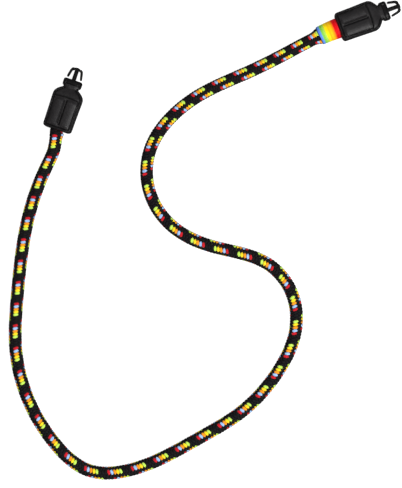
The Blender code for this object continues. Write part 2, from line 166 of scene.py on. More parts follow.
def lay_path():
    """Arc length, centre, left and up along the cord, run on straight into both plugs."""
    arc, x, y, heading = LAY
    step = arc[1] - arc[0]
    lift = 2 - smooth(arc / RISE_LEN) - smooth((CORD_LEN - arc) / RISE_LEN)
    centre = np.stack([x, y, CORD_Z + (PLUG_Z - CORD_Z) * lift], 1)
    extra = int(PATH_OVERRUN / step)
    before = np.arange(-extra, 0) * step
    after = np.arange(1, extra + 1) * step
    arc = np.concatenate([before, arc, CORD_LEN + after])
    first, last = (np.array([math.cos(h), math.sin(h), 0]) for h in (heading[0], heading[-1]))
    centre = np.concatenate(
        [centre[0] + before[:, None] * first, centre, centre[-1] + after[:, None] * last]
    )
    tangent = unit_rows(np.gradient(centre, arc, axis=0))
    left = unit_rows(np.stack([-tangent[:, 1], tangent[:, 0], np.zeros(len(arc))], 1))
    return arc, centre, left, np.cross(tangent, left)


PATH_ARC, PATH_CENTRE, PATH_LEFT, PATH_UP = lay_path()
# the cord leaves plug A's mouth a little to the left
LEAN = 0.55 * rise(PATH_ARC, start=0, over=1.6) * (1 - rise(PATH_ARC, start=6, over=13))


def on_path(table, arc):
    return np.stack([np.interp(arc, PATH_ARC, table[:, k]) for k in range(3)], -1)


def around(arc, theta, radius):
    """Points in metres: theta is from straight up towards the right of travel."""
    centre, left, up = (on_path(table, arc) for table in (PATH_CENTRE, PATH_LEFT, PATH_UP))
    left /= np.linalg.norm(left, axis=-1)[..., None]
    up /= np.linalg.norm(up, axis=-1)[..., None]
    centre = centre + np.interp(arc, PATH_ARC, LEAN)[..., None] * left
    radius = np.asarray(radius)[..., None]
    theta = np.asarray(theta)[..., None]
    return (centre + radius * (np.cos(theta) * up - np.sin(theta) * left)) * MM


def point(arc):
    return tuple(float(v) for v in on_path(PATH_CENTRE, np.array(arc)) * MM)


# the design's joints have to sit on this path
for joint in frame["joints"]:
    if joint["name"].startswith("bend_"):
        here = point((int(joint["name"][5:7]) - 0.5) * PITCH)
        if max(abs(a - b) for a, b in zip(here, joint["pos_m"])) > 0.0001:
            raise RuntimeError("the cord's path has moved away from " + joint["name"])


# ------------------------------------------------------------------ mesh building
def mesh_object(name, verts, faces, materials, face_material=None, sharp=None):
    mesh = bpy.data.meshes.new(name)
    mesh.from_pydata([tuple(v) for v in verts], [], faces)
    mesh.validate()
    for material in materials:
        mesh.materials.append(material)
    if face_material is not None:
        indices = np.asarray(face_material, dtype=np.int32)
        mesh.polygons.foreach_set("material_index", indices)
    mesh.shade_smooth()
    if sharp:
        mesh.set_sharp_from_angle(angle=math.radians(sharp))
    mesh.update()
    obj = bpy.data.objects.new(name, mesh)
    SCENE.collection.objects.link(obj)
    return obj


def quads(rings, ring_size, closed=True):
    """Vertex indices of the quads between successive rings of ring_size points."""
    ring = np.arange(rings - 1)[:, None] * ring_size
    here = np.arange(ring_size if closed else ring_size - 1)[None]
    beside = (here + 1) % ring_size
    corners = [ring + here, ring + beside, ring + ring_size + beside, ring + ring_size + here]
    return np.stack(corners, -1).reshape(-1, 4)


def vector_attribute(obj, name, values):
    attribute = obj.data.attributes.new(name, "FLOAT_VECTOR", "POINT")
    attribute.data.foreach_set("vector", np.asarray(values, np.float32).ravel())


def read_vectors(items, field):
    flat = np.empty(len(items) * 3, np.float32)
    items.foreach_get(field, flat)
    return flat.reshape(-1, 3)


def fix_normals(obj):
    bm = bmesh.new()
    bm.from_mesh(obj.data)
    bmesh.ops.recalc_face_normals(bm, faces=bm.faces)
    bm.to_mesh(obj.data)
    bm.free()


def apply_all(obj):
    graph = bpy.context.evaluated_depsgraph_get()
    mesh = bpy.data.meshes.new_from_object(obj.evaluated_get(graph))
    obj.modifiers.clear()
    obj.data = mesh


def boolean(obj, other, operation):
    mod = obj.modifiers.new("boolean", "BOOLEAN")
    mod.operation = operation
    mod.solver = "EXACT"
    mod.object = other
    bpy.context.view_layer.update()
    apply_all(obj)


def finish_surface(obj, sharp):
    obj.data.shade_smooth()
    obj.data.set_sharp_from_angle(angle=math.radians(sharp))


# ------------------------------------------------------------------ shader building
class Graph:
    """Short forms for making and linking shader nodes. Values may be numbers or sockets."""

    def __init__(self, tree):
        self.nodes, self.links = tree.nodes, tree.links

    def feed(self, node, inputs):
        for key, value in inputs.items():
            socket = node.inputs[key]
            if isinstance(value, bpy.types.NodeSocket):
                self.links.new(value, socket)
            elif socket.type == "RGBA":
                socket.default_value = (*value, 1.0)
            else:
                socket.default_value = value

    def add(self, kind, inputs=None, **settings):
        node = self.nodes.new(kind)
        for key, value in settings.items():
            setattr(node, key, value)
        self.feed(node, inputs or {})
        return node

    def surface(self, inputs):
        self.feed(self.nodes["Principled BSDF"], inputs)

    def math(self, operation, *values, clamp=False):
        inputs = dict(enumerate(values))
        return self.add("ShaderNodeMath", inputs, operation=operation, use_clamp=clamp).outputs[0]

    def times(self, value, factor):
        return self.math("MULTIPLY", value, factor)

    def rescale(self, value, gain, offset, clamp=False):
        return self.math("MULTIPLY_ADD", value, gain, offset, clamp=clamp)

    def attribute(self, name, output="Vector"):
        return self.add("ShaderNodeAttribute", attribute_name=name).outputs[output]

    def split(self, vector):
        return self.add("ShaderNodeSeparateXYZ", {0: vector}).outputs

    def combine(self, *values):
        return self.add("ShaderNodeCombineXYZ", dict(enumerate(values))).outputs[0]

    def scaled(self, vector, factor):
        inputs = {0: vector, "Scale": factor}
        return self.add("ShaderNodeVectorMath", inputs, operation="SCALE").outputs[0]

    def object_mm(self):
        """Object coordinates in millimetres."""
        return self.scaled(self.add("ShaderNodeTexCoord").outputs["Object"], factor=1000.0)

    def mix(self, factor, low, high):
        inputs = {0: factor, 6: low, 7: high}
        return self.add("ShaderNodeMix", inputs, data_type="RGBA").outputs[2]

    def noise(self, vector, scale, detail=3.0, roughness=0.5):
        inputs = {"Vector": vector, "Scale": scale, "Detail": detail, "Roughness": roughness}
        return self.add("ShaderNodeTexNoise", inputs).outputs["Fac"]

    def ramp(self, factor, stops):
        node = self.add("ShaderNodeValToRGB", {0: factor})
        elements = node.color_ramp.elements
        while len(elements) > 1:
            elements.remove(elements[-1])
        elements[0].position, elements[0].color = stops[0][0], (*stops[0][1], 1.0)
        for position, colour in stops[1:]:
            elements.new(position).color = (*colour, 1.0)
        return node.outputs[0]

    def bump(self, height, strength, distance, normal=None):
        """distance is in metres."""
        inputs = {"Strength": strength, "Distance": distance, "Height": height}
        if normal is not None:
            inputs["Normal"] = normal
        return self.add("ShaderNodeBump", inputs).outputs[0]


def new_material(name):
    material = bpy.data.materials.new(name)
    material.use_nodes = True
    return material, Graph(material.node_tree)


def linear(red, green, blue):
    """Linear colour from 0 to 255 screen values."""
    return tuple(
        (v / 255 / 12.92 if v / 255 <= 0.04045 else ((v / 255 + 0.055) / 1.055) ** 2.4)
        for v in (red, green, blue)
    )


# ------------------------------------------------------------------ materials
def yarn_material(name, colour, dark, sheen=0.25, roughness=0.62):
    """Twisted filament yarn.

    The attribute yarn holds mm along the strand, -1 to 1 across it, and the strand's number.
    """
    material, graph = new_material(name)
    along, across, own = graph.split(graph.attribute("yarn"))
    # filaments lie nearly along the strand, with a slow twist
    lane = graph.rescale(across, gain=0.62, offset=graph.times(along, factor=0.16))
    place = graph.combine(lane, graph.times(along, factor=0.055), own)
    filament = graph.noise(place, scale=13.0, detail=2.0, roughness=0.55)
    fine = graph.noise(place, scale=34.0, detail=1.0)
    ply_phase = graph.rescale(lane, gain=12.5, offset=graph.times(own, factor=9.0))
    plies = graph.math("SINE", ply_phase)
    height = graph.math(
        "ADD",
        graph.times(filament, factor=0.55),
        graph.rescale(plies, gain=0.16, offset=graph.times(fine, factor=0.3)),
    )
    # shade between the plies, and a slow change along each strand
    crevice = graph.rescale(height, gain=1.9, offset=-0.16, clamp=True)
    body = graph.mix(crevice, dark, colour)
    patch_place = graph.combine(graph.times(along, factor=0.35), own)
    patch = graph.noise(patch_place, scale=1.3, detail=2.0)
    toned = graph.scaled(body, graph.rescale(patch, gain=0.36, offset=0.84))
    # painted shade: each strand's colour goes darker towards its two edges, where it meets its
    # neighbours
    edge = graph.math("POWER", graph.math("ABSOLUTE", across), 5.0)
    edge_shaded = graph.mix(graph.times(edge, factor=0.6), toned, dark)
    # painted shade: where a strand is seen edge on, as on the cord's sides, its colour is taken
    # much darker
    facing = graph.add("ShaderNodeLayerWeight", {"Blend": 0.5}).outputs["Facing"]
    side_shade = graph.rescale(facing, gain=2.9, offset=-1.2, clamp=True)
    side_shade_colour = tuple(v * 0.3 for v in dark)
    graph.surface({
        "Base Color": graph.mix(graph.times(side_shade, factor=0.97), edge_shaded, side_shade_colour),
        "Roughness": graph.rescale(filament, gain=0.25, offset=roughness - 0.12),
        "Specular IOR Level": 0.2,
        "Sheen Weight": sheen,
        "Sheen Roughness": 0.45,
        "Normal": graph.bump(height, strength=0.75, distance=0.00012),
    })
    return material


# screen colours: the lit yarn, and the shade between its plies
BRIGHT_YARNS = {
    "red": ((222, 20, 38), (130, 4, 16)),
    "light_blue": ((176, 212, 250), (100, 140, 200)),
    "orange": ((255, 168, 34), (215, 110, 8)),
    "yellow": ((255, 236, 34), (225, 175, 5)),
    "lime": ((212, 250, 104), (140, 190, 45)),
}
YARN = {
    name: yarn_material("yarn_" + name, linear(*lit), linear(*shade))
    for name, (lit, shade) in BRIGHT_YARNS.items()
}
YARN["black"] = yarn_material(
    "yarn_black", linear(25, 23, 26), linear(6, 5, 6), sheen=0.02, roughness=0.75
)
YARN_NAMES = list(YARN)


def mottled_material(name, mottle, stops, roughness, relief, grain=None, metallic=0.0):
    """A blotchy surface. Its relief follows the grain noise, or the mottling if none is given."""
    material, graph = new_material(name)
    vector = graph.object_mm()
    mottled = graph.noise(vector, **mottle)
    height = graph.noise(vector, **grain) if grain else mottled
    graph.surface({
        "Base Color": graph.ramp(mottled, stops),
        "Metallic": metallic,
        "Roughness": graph.rescale(mottled, **roughness),
        "Normal": graph.bump(height, **relief),
    })
    return material


def moulded_material(name, polished, textured, rough, texture):
    """Injection-moulded black plastic, a little mottled, and rubbed along the edges.

    The attribute finish is 1 where the mould is textured and 0 where it is polished, and low
    values also paint shade, as the darker polished colour, on steep faces, grooves and steps;
    plug_mm is the place in the plug's own axes.
    """
    material, graph = new_material(name)
    vector = graph.attribute("plug_mm")
    finish_and_shade = graph.attribute("finish_and_shade", "Fac")
    grain = graph.noise(vector, scale=5.0, detail=2.0, roughness=0.6)
    coarse = graph.noise(vector, scale=1.05, roughness=0.55)
    flow = graph.noise(vector, scale=0.33, detail=2.0)
    grain_tone = graph.rescale(grain, gain=0.3, offset=-0.08)
    tone = graph.math(
        "ADD",
        graph.rescale(coarse, gain=0.75, offset=0.32),
        graph.rescale(flow, gain=0.5, offset=grain_tone),
    )
    # the darker polished colour is also painted shade wherever the finish attribute is low
    toned = graph.scaled(graph.mix(finish_and_shade, polished, textured), tone)
    pointiness = graph.add("ShaderNodeNewGeometry").outputs["Pointiness"]
    worn = graph.math("SUBTRACT", pointiness, 0.505)  # only edges sharper than this are worn
    worn = graph.math("MULTIPLY", worn, 6.0, clamp=True)  # full wear soon beyond it
    worn = graph.times(worn, graph.rescale(coarse, gain=2.4, offset=-0.7, clamp=True))
    worn_colour = tuple(min(v * 1.8 + 0.004, 1) for v in textured)
    roughness = graph.math(
        "ADD",
        graph.rescale(coarse, gain=0.26, offset=rough - 0.13),
        graph.rescale(finish_and_shade, gain=0.14, offset=graph.times(worn, factor=-0.06)),
    )
    # hair scratches, from noise stretched along a slant
    stretch = graph.add("ShaderNodeMapping", {
        "Scale": (0.35, 9.0, 3.0), "Rotation": (0.0, 0.0, 0.7), "Vector": vector,
    })  # fmt: skip
    streaks = graph.noise(stretch.outputs[0], scale=1.0, detail=1.0)
    scratches = graph.math("GREATER_THAN", streaks, 0.69)  # the threshold keeps them few
    height = graph.times(grain, graph.rescale(finish_and_shade, gain=0.85, offset=0.15))
    normal = graph.bump(height, strength=texture, distance=0.00007)
    normal = graph.bump(coarse, strength=0.35, distance=0.00012, normal=normal)
    normal = graph.bump(scratches, strength=0.25, distance=0.00001, normal=normal)
    graph.surface({
        "Base Color": graph.mix(graph.times(worn, factor=0.7), toned, worn_colour),
        "Roughness": roughness,
        "Specular IOR Level": graph.rescale(finish_and_shade, gain=0.2, offset=0.3),
        "Normal": normal,
    })
    return material


# polished is also the colour of the shade painted on the shells' steep faces, channel, outline and
# steps
SHELL_MAT = moulded_material(
    "satin_black_nylon",
    polished=(0.0045, 0.0043, 0.0046),
    textured=(0.0135, 0.0122, 0.013),
    rough=0.33,
    texture=0.75,
)
TIP_MAT = moulded_material(
    "smooth_black_acetal",
    polished=(0.004, 0.004, 0.0042),
    textured=(0.02, 0.02, 0.0205),
    rough=0.34,
    texture=0.3,
)

RIBBON_WIDTH = 9.0  # nominal width, over which the stripes are laid out
# share of the width from the plug end, and screen colour
RIBBON_STOPS = (
    (0.0, (220, 30, 40)), (0.075, (222, 20, 32)), (0.11, (224, 6, 18)), (0.2, (224, 6, 18)),
    (0.225, (238, 84, 30)), (0.275, (252, 150, 14)), (0.33, (254, 182, 16)),
    (0.40, (250, 204, 8)), (0.47, (254, 182, 16)), (0.52, (255, 228, 14)),
    (0.63, (255, 228, 14)), (0.66, (176, 224, 84)), (0.72, (176, 224, 84)),
    (0.745, (140, 210, 78)), (0.835, (136, 206, 80)), (0.86, (104, 156, 238)),
    (0.955, (92, 134, 226)), (0.975, (22, 34, 74)), (1.0, (22, 34, 74)),
)  # fmt: skip
WARP_PITCH, WEFT_PITCH = 0.17, 0.34


def ribbon_material():
    """Woven satin ribbon. The attribute ribbon holds mm from the plug end and mm round the cord."""
    material, graph = new_material("striped_satin_ribbon")
    across, round_cord, _ = graph.split(graph.attribute("ribbon"))
    wander = graph.noise(graph.combine(across, round_cord), scale=1.1, detail=2.0)
    # the stripes wander to either side by half of this
    wander_width = 0.34
    centred = graph.math("SUBTRACT", across, wander_width / 2)
    wandered = graph.rescale(wander, gain=wander_width, offset=centred)
    share = graph.math("DIVIDE", wandered, RIBBON_WIDTH)
    colour = graph.ramp(share, [(at, linear(*screen)) for at, screen in RIBBON_STOPS])
    # warp threads run round the cord, weft picks across it
    warp = graph.math("SINE", graph.times(across, factor=2 * math.pi / WARP_PITCH))
    weft = graph.math("SINE", graph.times(round_cord, factor=2 * math.pi / WEFT_PITCH))
    weave = graph.rescale(warp, gain=0.5, offset=graph.times(weft, factor=0.28))
    streak_place = graph.combine(
        graph.times(across, factor=7.0), graph.times(round_cord, factor=0.25)
    )
    streaks = graph.noise(streak_place, scale=1.0)
    weave_tone = graph.rescale(weave, gain=0.07, offset=0.76)
    tone = graph.rescale(streaks, gain=0.55, offset=weave_tone)
    height = graph.math("ADD", weave, graph.times(streaks, factor=1.2))
    graph.surface({
        "Base Color": graph.scaled(colour, tone),
        "Roughness": 0.42,
        "Specular IOR Level": 0.15,
        "Sheen Weight": 0.0,
        "Normal": graph.bump(height, strength=0.6, distance=0.00006),
    })
    return material


# ------------------------------------------------------------------ the braided cord
BRAID_R = 3.26  # over the crowns of the strands
YARN_T = 0.31  # half thickness of a strand
STRAND_INSET = 0.33  # from the braid's outside in to the middle of a strand on top
UNDER = 0.28  # how far a strand moves in and out as it passes over and under
STEEP = 0.6  # a strand runs nearly straight across the cord on top, and slants underneath
CROWN_VARIATION = 0.035  # crowns differ in height by this much either way
FLAT_BELOW = 0.3  # crowns nearer the table than this are squeezed up
WAY_STRANDS = 8  # strands turning each way
STRAND_COLOURS = ["red", "light_blue", "orange", "yellow", "lime", "black", "black", "black"]
FIRST_RED = 2.9  # where the red strand first comes to the top of its column

# arc length, and length of one turn of a strand: the middle is stretched a little more
BRAID_LAY = np.array((
    (0, 10.6), (90, 10.4), (120, 11.7), (350, 11.9), (450, 11.4), (500, 11.1), (530, 9.2),
    (CORD_LEN, 8.0),
))  # fmt: skip
# arc length, and degrees from straight up of the first coloured column: the cord is slack
# and lies with a little twist in it
TWIST = np.array((
    (0, 15), (20, 12), (40, 0), (80, 0), (150, -10), (190, -12), (300, -8), (360, -15),
    (415, -16), (440, -28), (490, -42), (515, -35), (CORD_LEN, -25),
))  # fmt: skip
# distance from the cord's end, and outside radius: at plug A the braid bunches up at the
# mouth, at plug B it swells over the sleeve, and it is narrower inside both plugs
SHEATH_A = np.array((
    (-CORD_IN, 2.75), (-11.9, 2.6), (-6.4, 2.6), (-4.9, 3.0), (-0.7, 3.05), (0.1, 3.2),
    (0.9, 3.62), (2.0, 3.5), (4.0, 3.24), (7.0, BRAID_R),
))  # fmt: skip
SHEATH_B = np.array((
    (-CORD_IN, 2.75), (-11.9, 2.6), (-6.4, 2.6), (-4.9, 3.0), (-0.7, 3.02), (0.5, 3.3),
    (1.9, 4.45), (9.8, 4.2), (10.3, 4.12), (11.2, 3.72), (12.4, 3.38), (13.8, 3.22),
    (16.0, BRAID_R),
))  # fmt: skip
# ring stations in degrees within each quarter turn, closer together where a strand dives
QUARTER = (-45, -34, -28, -25, -22.5, -20, -16, -8, 0, 8, 16, 20, 22.5, 25, 28, 34)
# angles of the points round a strand's section: the outer side, then two underneath
RIM = np.radians((0, 27, 54, 90, 126, 153, 180, 232, 308))


def outer_radius(arc):
    near_a = np.interp(arc, *SHEATH_A.T)
    near_b = np.interp(CORD_LEN - arc, *SHEATH_B.T)
    return np.where(arc < CORD_LEN / 2, near_a, near_b)


def braid_tables():
    """Arc length, turns of a strand, and smoothed twist in degrees."""
    step = 0.25
    arc = np.arange(-25.0, CORD_LEN + 25.0, step)
    rate = 1 / np.interp(arc, *BRAID_LAY.T)
    turns = np.concatenate([[0], np.cumsum((rate[1:] + rate[:-1]) / 2 * step)])
    turns -= np.interp(FIRST_RED, arc, turns)
    twist = np.interp(arc, *TWIST.T)
    reach = 40
    kernel = np.hanning(2 * reach + 1)
    kernel /= kernel.sum()
    padded = np.concatenate([np.full(reach, twist[0]), twist, np.full(reach, twist[-1])])
    return arc, turns, np.convolve(padded, kernel, "valid")


BRAID_ARC, TURNS, SMOOTH_TWIST = braid_tables()


def over_under(theta):
    """1 where the right-turning strands are on top, -1 where they are underneath."""
    return np.tanh(2.1 * np.cos(4 * theta)) / math.tanh(2.1)


def strand_stations(way, start):
    """Arc length and angle in degrees, before the cord's twist, of a strand's rings."""
    ends = (-CORD_IN, CORD_LEN + CORD_IN)
    reach = sorted(start + way * 360 * np.interp(end, BRAID_ARC, TURNS) for end in ends)
    first, last = math.floor(reach[0] / 90) - 1, math.ceil(reach[1] / 90) + 1
    degrees = np.concatenate(
        [np.array(QUARTER, float) + 90.0 * quarter for quarter in range(first, last + 1)]
    )
    bend_deg = STEEP / 4 * 180 / math.pi * np.sin(np.radians(4 * degrees))
    lay = way * (degrees - start) - bend_deg
    arc = np.interp(lay / 360, TURNS, BRAID_ARC, left=-999, right=999)
    order = np.argsort(arc, kind="stable")
    arc, degrees = arc[order], degrees[order]
    keep = (arc >= ends[0]) & (arc <= ends[1])
    return arc[keep], degrees[keep]


def strand(way, k):
    """Arc length, ring points and yarn attribute of one strand along the whole cord.

    way is 1 for the strands that turn to the right of travel, -1 for the others.
    """
    start = 45.0 * k + (0 if way > 0 else 22.5)
    arc, degrees = strand_stations(way, start)
    angle = np.radians(degrees)
    # every float, where a strand passes over, has its own small differences
    crown = (0.5 + 0.5 * np.cos(np.radians(4 * degrees)) * way) ** 1.3
    seed = np.random.RandomState(100 + k + (50 if way > 0 else 0))
    table = seed.uniform(-1, 1, (4, 400))
    number = np.floor((degrees - (0 if way < 0 else -45)) / 90).astype(int) % 400
    wide, high, shift, skew = (row[number] * crown for row in table)
    outside = outer_radius(arc)
    swell = (outside / BRAID_R) ** 0.9
    thick = YARN_T * (0.94 + 0.14 * crown)
    radius = outside - STRAND_INSET - UNDER + way * UNDER * over_under(angle)
    radius = radius - CROWN_VARIATION + CROWN_VARIATION * high
    twist = np.radians(np.interp(arc, BRAID_ARC, SMOOTH_TWIST))
    theta = angle + twist + np.radians(0.9 * skew)
    arc = arc + 0.05 * shift
    slant = way - STEEP * np.cos(np.radians(4 * degrees))
    per_degree = np.interp(arc, *BRAID_LAY.T) / 360 * slant
    direction = unit_rows(np.stack([per_degree, radius * math.pi / 180], 1))
    half_width = (0.45 + 0.265 * crown + 0.03 * wide) * swell
    # spread each ring across the strand's direction and out from the cord
    cos, sin = np.cos(RIM), np.sin(RIM)
    ring_arc = arc[:, None] - (direction[:, 1] * half_width)[:, None] * cos
    ring_theta = theta[:, None] + (direction[:, 0] * half_width / radius)[:, None] * cos
    lift = thick[:, None] * np.where(sin > 0, sin, 0.75 * sin)[None]
    points = around(ring_arc, ring_theta, radius[:, None] + lift)
    # the cord lies on the table, which flattens its crowns a little
    z = points[..., 2] / MM
    squeezed = FLAT_BELOW * np.exp((z - FLAT_BELOW) / FLAT_BELOW)
    points[..., 2] = np.where(z < FLAT_BELOW, squeezed, z) * MM
    step = np.hypot(np.diff(arc), radius[1:] * np.diff(angle))
    run = np.concatenate([[0], np.cumsum(step)])
    own = (k * 0.37 + (0.5 if way < 0 else 0.0)) * 3.1
    yarn = np.stack(
        [
            np.repeat(run[:, None], len(RIM), 1),
            np.repeat(cos[None], len(arc), 0),
            np.full((len(arc), len(RIM)), own),
        ],
        -1,
    )
    return arc, points, yarn


def piece_span(arc, i):
    """First and last station of cord piece i, counted from 0."""
    first = 0 if i == 0 else int(np.argmin(abs(arc - i * PITCH)))
    last = len(arc) - 1 if i == JOINTS - 1 else int(np.argmin(abs(arc - (i + 1) * PITCH)))
    return first, last


def strand_faces(points):
    """Faces of a length of strand and its two ends, all facing out of it."""
    rings, ring_size = points.shape[:2]
    flat = points.reshape(-1, 3)
    sides = quads(rings, ring_size)
    corners = flat[sides[2]]
    middle = points[:2].reshape(-1, 3).mean(0)
    normal = np.cross(corners[1] - corners[0], corners[3] - corners[0])
    outward = bool(np.dot(normal, corners.mean(0) - middle) > 0)
    first = list(range(ring_size))
    last = [len(flat) - ring_size + j for j in range(ring_size)]
    if outward:
        return sides.tolist() + [first[::-1], last]
    return sides[:, ::-1].tolist() + [first, last[::-1]]


def braid_pieces():
    strands = []
    for way in (1, -1):
        for k in range(WAY_STRANDS):
            colour = STRAND_COLOURS[(-k) % WAY_STRANDS] if way > 0 else "black"
            strands.append((YARN_NAMES.index(colour), *strand(way, k)))
    pieces = []
    for i in range(JOINTS):
        verts, faces, face_colours, yarns, base = [], [], [], [], 0
        for colour, arc, points, yarn in strands:
            first, last = piece_span(arc, i)
            length = points[first : last + 1]
            made = strand_faces(length)
            faces += [[base + v for v in face] for face in made]
            face_colours += [colour] * len(made)
            verts.append(length.reshape(-1, 3))
            yarns.append(yarn[first : last + 1].reshape(-1, 3))
            base += len(verts[-1])
        name = f"braided_sheath_{i + 1:02d}"
        materials = list(YARN.values())
        obj = mesh_object(name, np.concatenate(verts), faces, materials, face_colours, sharp=75)
        vector_attribute(obj, "yarn", np.concatenate(yarns))
        pieces.append(obj)
    return pieces


CORE_R, CORE_LOBE = 1.84, 0.12  # radius between the lobes, and how far they stand out
CORE_SIDES = 36
CORE_STEP = 1.6
CORE_TWIST = 40.0  # length in which the bundle turns by one radian


def core_pieces(material):
    """The rubber core: a twisted bundle of latex strands, as a lobed rod."""
    count = int((CORD_LEN + 2 * CORD_IN) / CORE_STEP)
    arc = np.linspace(-CORD_IN, CORD_LEN + CORD_IN, count)
    angle = np.linspace(0, 2 * math.pi, CORE_SIDES, endpoint=False)
    radius = CORE_R + CORE_LOBE * abs(np.sin(6 * angle)) ** 0.8
    theta = angle[None] + (arc / CORE_TWIST)[:, None]
    rod = around(
        np.repeat(arc[:, None], CORE_SIDES, 1), theta, np.repeat(radius[None], count, 0)
    )
    pieces = []
    for i in range(JOINTS):
        first, last = piece_span(arc, i)
        points = rod[first : last + 1].reshape(-1, 3)
        faces = quads(last - first + 1, CORE_SIDES)[:, ::-1].tolist()
        faces += [list(range(CORE_SIDES)), [len(points) - 1 - j for j in range(CORE_SIDES)]]
        name = f"rubber_core_{i + 1:02d}"
        pieces.append(mesh_object(name, points, faces, [material], sharp=60))
    return pieces


def bend(piece):
    """Bakes the piece's place into its mesh. Piece i crosses joint i, from the middle of one link
    to the middle of the next.
    """
    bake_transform(piece)


def fit_cord_pieces(pieces, node):
    for i, piece in enumerate(pieces, 1):
        bend(piece)
        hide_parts(*([f"{node}_{i:02d}"] + ([f"{node}_00"] if i == 1 else [])))


LATEX = mottled_material(
    "latex_strands",
    mottle={"scale": 0.9, "detail": 4.0},
    stops=[(0.3, (0.33, 0.26, 0.17)), (0.7, (0.62, 0.52, 0.37))],
    roughness={"gain": 0.3, "offset": 0.45},
    grain={"scale": 5.0, "detail": 3.0},
    relief={"strength": 0.3, "distance": 0.0001},
)
fit_cord_pieces(braid_pieces(), "cord_sheath")
fit_cord_pieces(core_pieces(LATEX), "cord_core")


# ------------------------------------------------------------------ the plugs' shells
# In a plug's own axes x runs from the cord's mouth at 0 to the tip, y is across, and z is 0
# on the parting plane. The front half is above that plane and the back half is below it.
SHELL_LEN = 25.5
PARTING = 0.06  # gap from the parting plane to each half
# station, half width, half thickness, power of the section
OUTLINE = np.array([
    (0.0, 5.6, 4.5, 4.4),
    (0.3, 6.45, 5.08, 4.8),
    (0.8, 7.0, 5.42, 5.0),
    (1.55, 7.2, 5.58, 5.0),
    (1.95, 7.22, 5.6, 5.0),
    (6.0, 7.27, 5.6, 5.0),
    (11.0, 7.38, 5.6, 5.0),
    (16.0, 7.5, 5.58, 5.0),
    (16.9, 7.48, 5.55, 5.0),
    (17.7, 7.32, 5.4, 4.8),
    (18.6, 6.9, 5.1, 4.5),
    (19.6, 6.05, 4.6, 4.0),
    (20.5, 4.95, 4.05, 3.4),
    (21.2, 3.95, 3.7, 3.0),
    (21.55, 3.85, 3.65, 3.0),
    (21.9, 4.25, 3.65, 3.0),
    (22.4, 4.65, 3.65, 3.0),
    (24.3, 4.75, 3.55, 3.0),
    (25.05, 4.6, 3.15, 3.0),
    (SHELL_LEN, 4.1, 2.6, 2.8),
])
HALF_WIDTH, HALF_THICK, POWER = 1, 2, 3  # columns of the outline
ACROSS_POINTS = 151
RIM_WIDTH = 1.0  # raised border round the outline
PANEL_END = 16.55  # the sunk panel's tip-side edge, on the middle line
GROOVE_Y, GROOVE_HALF = 0.08, 0.85  # groove down the middle of the panel
BEAD_Y = 0.85  # fine bead along one edge of the groove
EJECTOR_MARKS = ((5.2, 2.9), (5.2, -2.9), (13.4, 2.9), (13.4, -2.9))
EJECTOR_R = 1.15
# station and radius of the bore that holds the cord, the ferrule and the tip's anchor disc
HOLLOW = (
    (-2.0, 3.62), (-0.12, 3.62), (0.3, 3.3), (5.95, 3.3), (6.0, 4.1), (12.85, 4.1), (12.9, 1.0),
    (14.55, 1.0), (14.6, 3.3), (16.9, 3.3), (16.95, 1.88), (SHELL_LEN - 0.2, 1.88),
    (SHELL_LEN + 0.3, 2.2), (SHELL_LEN + 2, 2.2),
)  # fmt: skip


def pchip(x, y, at):
    """Smooth curve through the points that never overshoots them."""
    gap = np.diff(x)
    rate = np.diff(y) / gap
    slope = np.zeros(len(x))
    for k in range(1, len(x) - 1):
        if rate[k - 1] * rate[k] > 0:
            before, after = 2 * gap[k] + gap[k - 1], gap[k] + 2 * gap[k - 1]
            slope[k] = (before + after) / (before / rate[k - 1] + after / rate[k])
    slope[0], slope[-1] = rate[0], rate[-1]
    k = np.clip(np.searchsorted(x, at, side="right") - 1, 0, len(gap) - 1)
    t = (at - x[k]) / gap[k]
    return (
        y[k] * (1 + 2 * t) * (1 - t) ** 2
        + gap[k] * slope[k] * t * (1 - t) ** 2
        + y[k + 1] * t * t * (3 - 2 * t)
        + gap[k] * slope[k + 1] * t * t * (t - 1)
    )


def outline_at(x, column):
    return pchip(OUTLINE[:, 0], OUTLINE[:, column], x)


def spaced(*spans):
    """Stations over successive spans of (start, end, rough step)."""
    out = [spans[0][0]]
    for start, end, step in spans:
        count = max(1, round((end - start) / step))
        out += [start + (end - start) * k / count for k in range(1, count + 1)]
    return np.array(out)


X_STATIONS = spaced(
    (0.0, 0.6, 0.06), (0.6, 1.2, 0.1), (1.2, 2.6, 0.08), (2.6, 14.6, 0.25), (14.6, 17.2, 0.09),
    (17.2, 20.8, 0.13), (20.8, 22.5, 0.1), (22.5, 23.6, 0.06), (23.6, 24.6, 0.14),
    (24.6, SHELL_LEN, 0.07),
)  # fmt: skip


def silhouette_distance(x, y):
    """Distance in plan from a point of a shell to the shell's outline."""
    side_x = spaced((0.0, SHELL_LEN, 0.06))
    side = np.stack([side_x, outline_at(side_x, HALF_WIDTH)], 1)
    mouth_half = OUTLINE[0, HALF_WIDTH]
    mouth = np.stack([np.zeros(60), np.linspace(-mouth_half, mouth_half, 60)], 1)
    line = np.concatenate([side, mouth])
    plan_x, plan_y = np.ravel(x), abs(np.ravel(y))
    nearest = np.full(len(plan_x), 1e9)
    block = 60  # line points taken at a time, to save memory
    for k in range(0, len(line), block):
        some = line[None, k : k + block]
        gap = np.hypot(plan_x[:, None] - some[..., 0], plan_y[:, None] - some[..., 1])
        nearest = np.minimum(nearest, gap.min(1))
    return nearest.reshape(np.shape(x))


def before_panel_edge(x, y):
    """Distance along x from a point to the panel's bowed tip-side edge."""
    return PANEL_END - 0.016 * y**2 - x


def bead_length(x):
    return rise(x, start=2.6, over=0.8) * fall(x, end=15.2, over=0.8)


